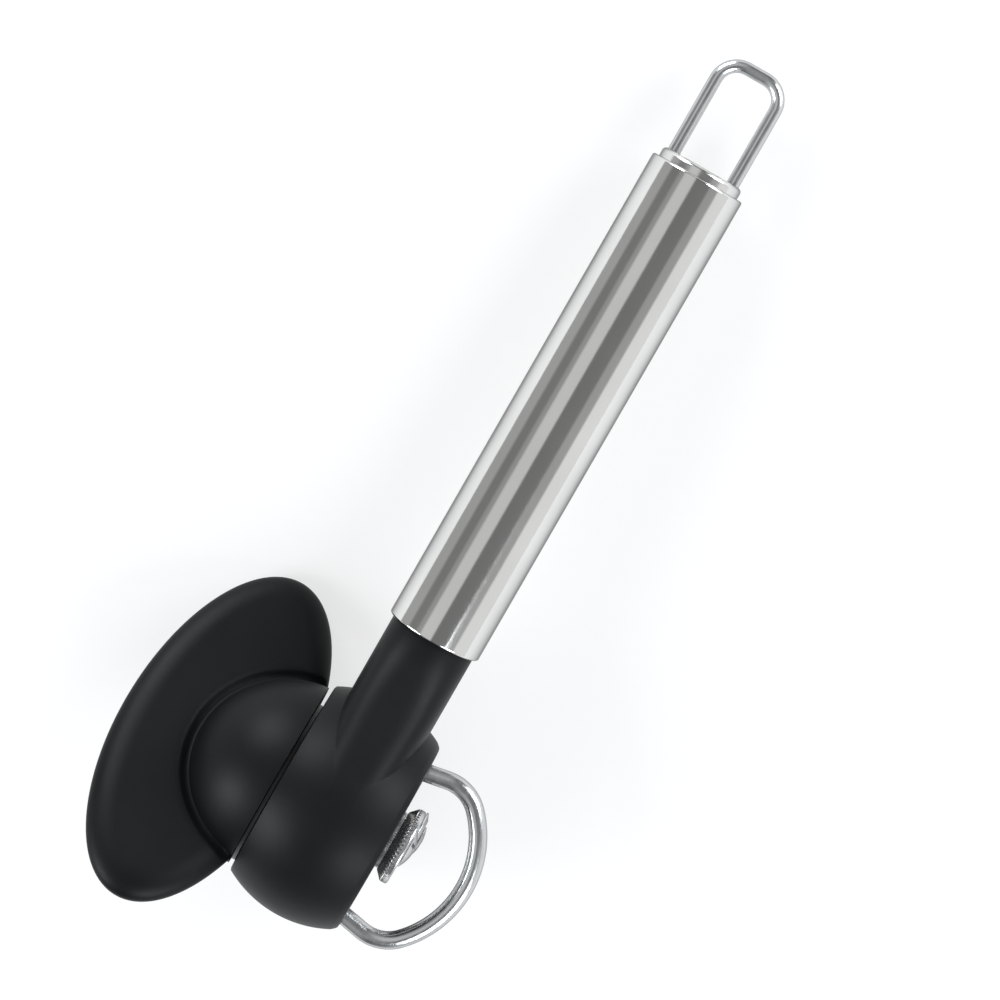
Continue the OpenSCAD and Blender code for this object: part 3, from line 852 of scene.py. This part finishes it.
def make_screws():
    """The wheel's screw and the cutter's axle screw, each with its slot."""
    low, high = in_tool("wheel_screw")
    bm, cut = headed(
        [(low.x, 0), (low.x, SCREW_R), (WHEEL_X1, SCREW_R)], SCREW_HEAD_R, SCREW_HEAD_EDGE,
        WHEEL_X1, high.x, (0, 0, 0), SCREW_SLOT, -PADDLE_TILT)
    obj = piece("screw", bm, HARD_STEEL, "drive", ["wheel_screw"], angle=HARD_ANGLE)
    combine(obj, cut, "DIFFERENCE", HARD_ANGLE)

    low, high = in_tool("cutter_axle")
    head_x = high.x - AXLE_HEAD_T
    neck_x = FACE_X - 0.15
    bm, cut = headed(
        [(low.x, 0), (low.x, AXLE_THREAD_R), (neck_x, AXLE_THREAD_R), (neck_x, AXLE_R),
         (head_x, AXLE_R)], AXLE_HEAD_R, AXLE_HEAD_EDGE,
        head_x, high.x, (0, CUTTER.y, CUTTER.z), AXLE_SLOT, AXLE_SLOT_TURN)
    obj = piece("axle", bm, HARD_STEEL, "opener", ["cutter_axle"], angle=HARD_ANGLE)
    combine(obj, cut, "DIFFERENCE", HARD_ANGLE)


make_tube()
make_cap()
make_loop()
make_housing()
make_ring()
make_knob()
make_wheel()
make_washer()
make_cutter()
make_screws()

# ---------------------------------------------------------------- studio

FLOOR_SIZE = 6.0
FLOOR_GLOW = 0.66


def floor_material():
    """Matt grey floor with a glow, so that it comes out nearly white under soft light."""
    n = Nodes("floor_paint")
    cloud = n.noise(n.coords((1, 1, 1)), 3.0, 2.0, 0.4)
    n.link(n.ramp(cloud, (0.24, 0.24, 0.24), (0.26, 0.26, 0.26)), n.bsdf.inputs["Base Color"])
    n.bsdf.inputs["Roughness"].default_value = 0.9
    n.bsdf.inputs["Specular IOR Level"].default_value = 0.1
    n.bsdf.inputs["Emission Color"].default_value = (1, 1, 1, 1)
    n.bsdf.inputs["Emission Strength"].default_value = FLOOR_GLOW
    return n.material


def make_floor():
    """A flat floor right under the opener."""
    bm = bmesh.new()
    half = FLOOR_SIZE / 2
    bm.faces.new([bm.verts.new((x * half, y * half, cad_low.z))
                  for x, y in ((-1, -1), (1, -1), (1, 1), (-1, 1))])
    mesh = bpy.data.meshes.new("floor")
    bm.to_mesh(mesh)
    bm.free()
    mesh.materials.append(floor_material())
    obj = bpy.data.objects.new("floor", mesh)
    bpy.context.scene.collection.objects.link(obj)


SOFT_TINT = (0.93, 0.97, 1.0)
SOFT_DISTANCE = 1.0
SOFT_SIZE = 0.5
SOFT_AIM = (0, 30 * MM, 0)
SOFTBOXES = (
    ("soft_left_far", (-0.66, 0.66, 0.36), 7.5),
    ("soft_left_near", (-0.66, -0.55, 0.48), 8.0),
    ("soft_right_far", (0.58, 0.68, 0.46), 8.0),
    ("soft_right_near", (0.64, -0.44, 0.64), 6.5),
)


def softbox(name, direction, power):
    """Square softbox in a direction of the tool frame, facing the neck of the opener."""
    away = (TOOL.to_3x3() @ Vector(direction)).normalized()
    place = TOOL @ Vector(SOFT_AIM) + away * SOFT_DISTANCE
    data = bpy.data.lights.new(name, "AREA")
    data.shape = "SQUARE"
    data.size = SOFT_SIZE
    data.energy = power
    data.color = SOFT_TINT
    obj = bpy.data.objects.new(name, data)
    turn = away.to_track_quat("Z", "Y").to_matrix().to_4x4()
    obj.matrix_world = Matrix.Translation(place) @ turn
    bpy.context.scene.collection.objects.link(obj)


make_floor()
for softbox_row in SOFTBOXES:
    softbox(*softbox_row)

# the tent: (angle, light) round the handle, from straight below on the knob side, over the top,
# to straight below on the wheel side
TENT = (
    (-180, 1.00), (-100, 1.00), (-95, 0.42), (-67, 0.42), (-61, 0.22), (-44, 0.22),
    (-40, 0.34), (-32, 0.36), (-28, 0.66), (-4, 0.66), (0, 0.20), (33, 0.21),
    (37, 0.38), (55, 0.40), (59, 0.86), (112, 0.90), (118, 0.25), (180, 0.25),
)
# towards the handle's two ends the tent fades to TENT_ENDS of its light; the fade runs between
# two cosines of the angle to the handle
TENT_ENDS = 0.55
FADE_FROM = 0.4
FADE_TO = 0.85


def make_tent():
    """World light by direction: a ramp by the angle round the handle, times the ends' fade."""
    world = bpy.data.worlds.new("studio")
    bpy.context.scene.world = world
    world.use_nodes = True
    tree = world.node_tree
    background = tree.nodes["Background"]
    coord = tree.nodes.new("ShaderNodeTexCoord")

    def part_along(axis):
        dot = tree.nodes.new("ShaderNodeVectorMath")
        dot.operation = "DOT_PRODUCT"
        dot.inputs[1].default_value = axis
        tree.links.new(coord.outputs["Generated"], dot.inputs[0])
        return dot.outputs["Value"]

    def mapped(value, from_low, from_high, to_low, to_high):
        node = tree.nodes.new("ShaderNodeMapRange")
        for key, number in (("From Min", from_low), ("From Max", from_high),
                            ("To Min", to_low), ("To Max", to_high)):
            node.inputs[key].default_value = number
        tree.links.new(value, node.inputs["Value"])
        return node

    angle = tree.nodes.new("ShaderNodeMath")
    angle.operation = "ARCTAN2"
    tree.links.new(part_along(X_AXIS), angle.inputs[0])
    tree.links.new(part_along(Z_AXIS), angle.inputs[1])
    scale = mapped(angle.outputs[0], -math.pi, math.pi, 0.0, 1.0)
    ramp = tree.nodes.new("ShaderNodeValToRGB")
    stops = ramp.color_ramp.elements
    while len(stops) < len(TENT):
        stops.new(0.5)
    for stop, (degrees, level) in zip(stops, TENT):
        stop.position = (degrees + 180) / 360
        stop.color = (level, level, level, 1)
    tree.links.new(scale.outputs["Result"], ramp.inputs["Fac"])
    tree.links.new(ramp.outputs["Color"], background.inputs["Color"])

    size = tree.nodes.new("ShaderNodeMath")
    size.operation = "ABSOLUTE"
    tree.links.new(part_along(Y_AXIS), size.inputs[0])
    ends = mapped(size.outputs[0], FADE_FROM, FADE_TO, 1.0, TENT_ENDS)
    ends.interpolation_type = "SMOOTHSTEP"
    tree.links.new(ends.outputs["Result"], background.inputs["Strength"])


make_tent()

# ---------------------------------------------------------------- camera

CAMERA_AT = (0.0, 146.0, 694.0)
CAMERA_AIM = (-2.1, 70.1, 0.0)
CAMERA_LENS = 127.1
CAMERA_SENSOR = 36.0
# from the picture's right-hand direction to the handle's
HANDLE_ANGLE = math.radians(60.1)


def make_camera():
    """The photograph's camera, placed in the tool frame and rolled to the handle's angle."""
    data = bpy.data.cameras.new("camera")
    data.sensor_width = CAMERA_SENSOR
    data.lens = CAMERA_LENS
    data.clip_start = 0.01
    data.clip_end = 20
    obj = bpy.data.objects.new("camera", data)
    place = TO_ROW @ Vector(CAMERA_AT)
    back = (place - TO_ROW @ Vector(CAMERA_AIM)).normalized()
    up_y = (Y_AXIS - back * Y_AXIS.dot(back)).normalized()
    side_x = up_y.cross(back)
    right = math.cos(HANDLE_ANGLE) * up_y + math.sin(HANDLE_ANGLE) * side_x
    up = math.sin(HANDLE_ANGLE) * up_y - math.cos(HANDLE_ANGLE) * side_x
    obj.matrix_world = Matrix.Translation(place) @ Matrix((right, up, back)).transposed().to_4x4()
    bpy.context.scene.collection.objects.link(obj)
    bpy.context.scene.camera = obj


make_camera()
bpy.context.scene.view_settings.view_transform = "Standard"
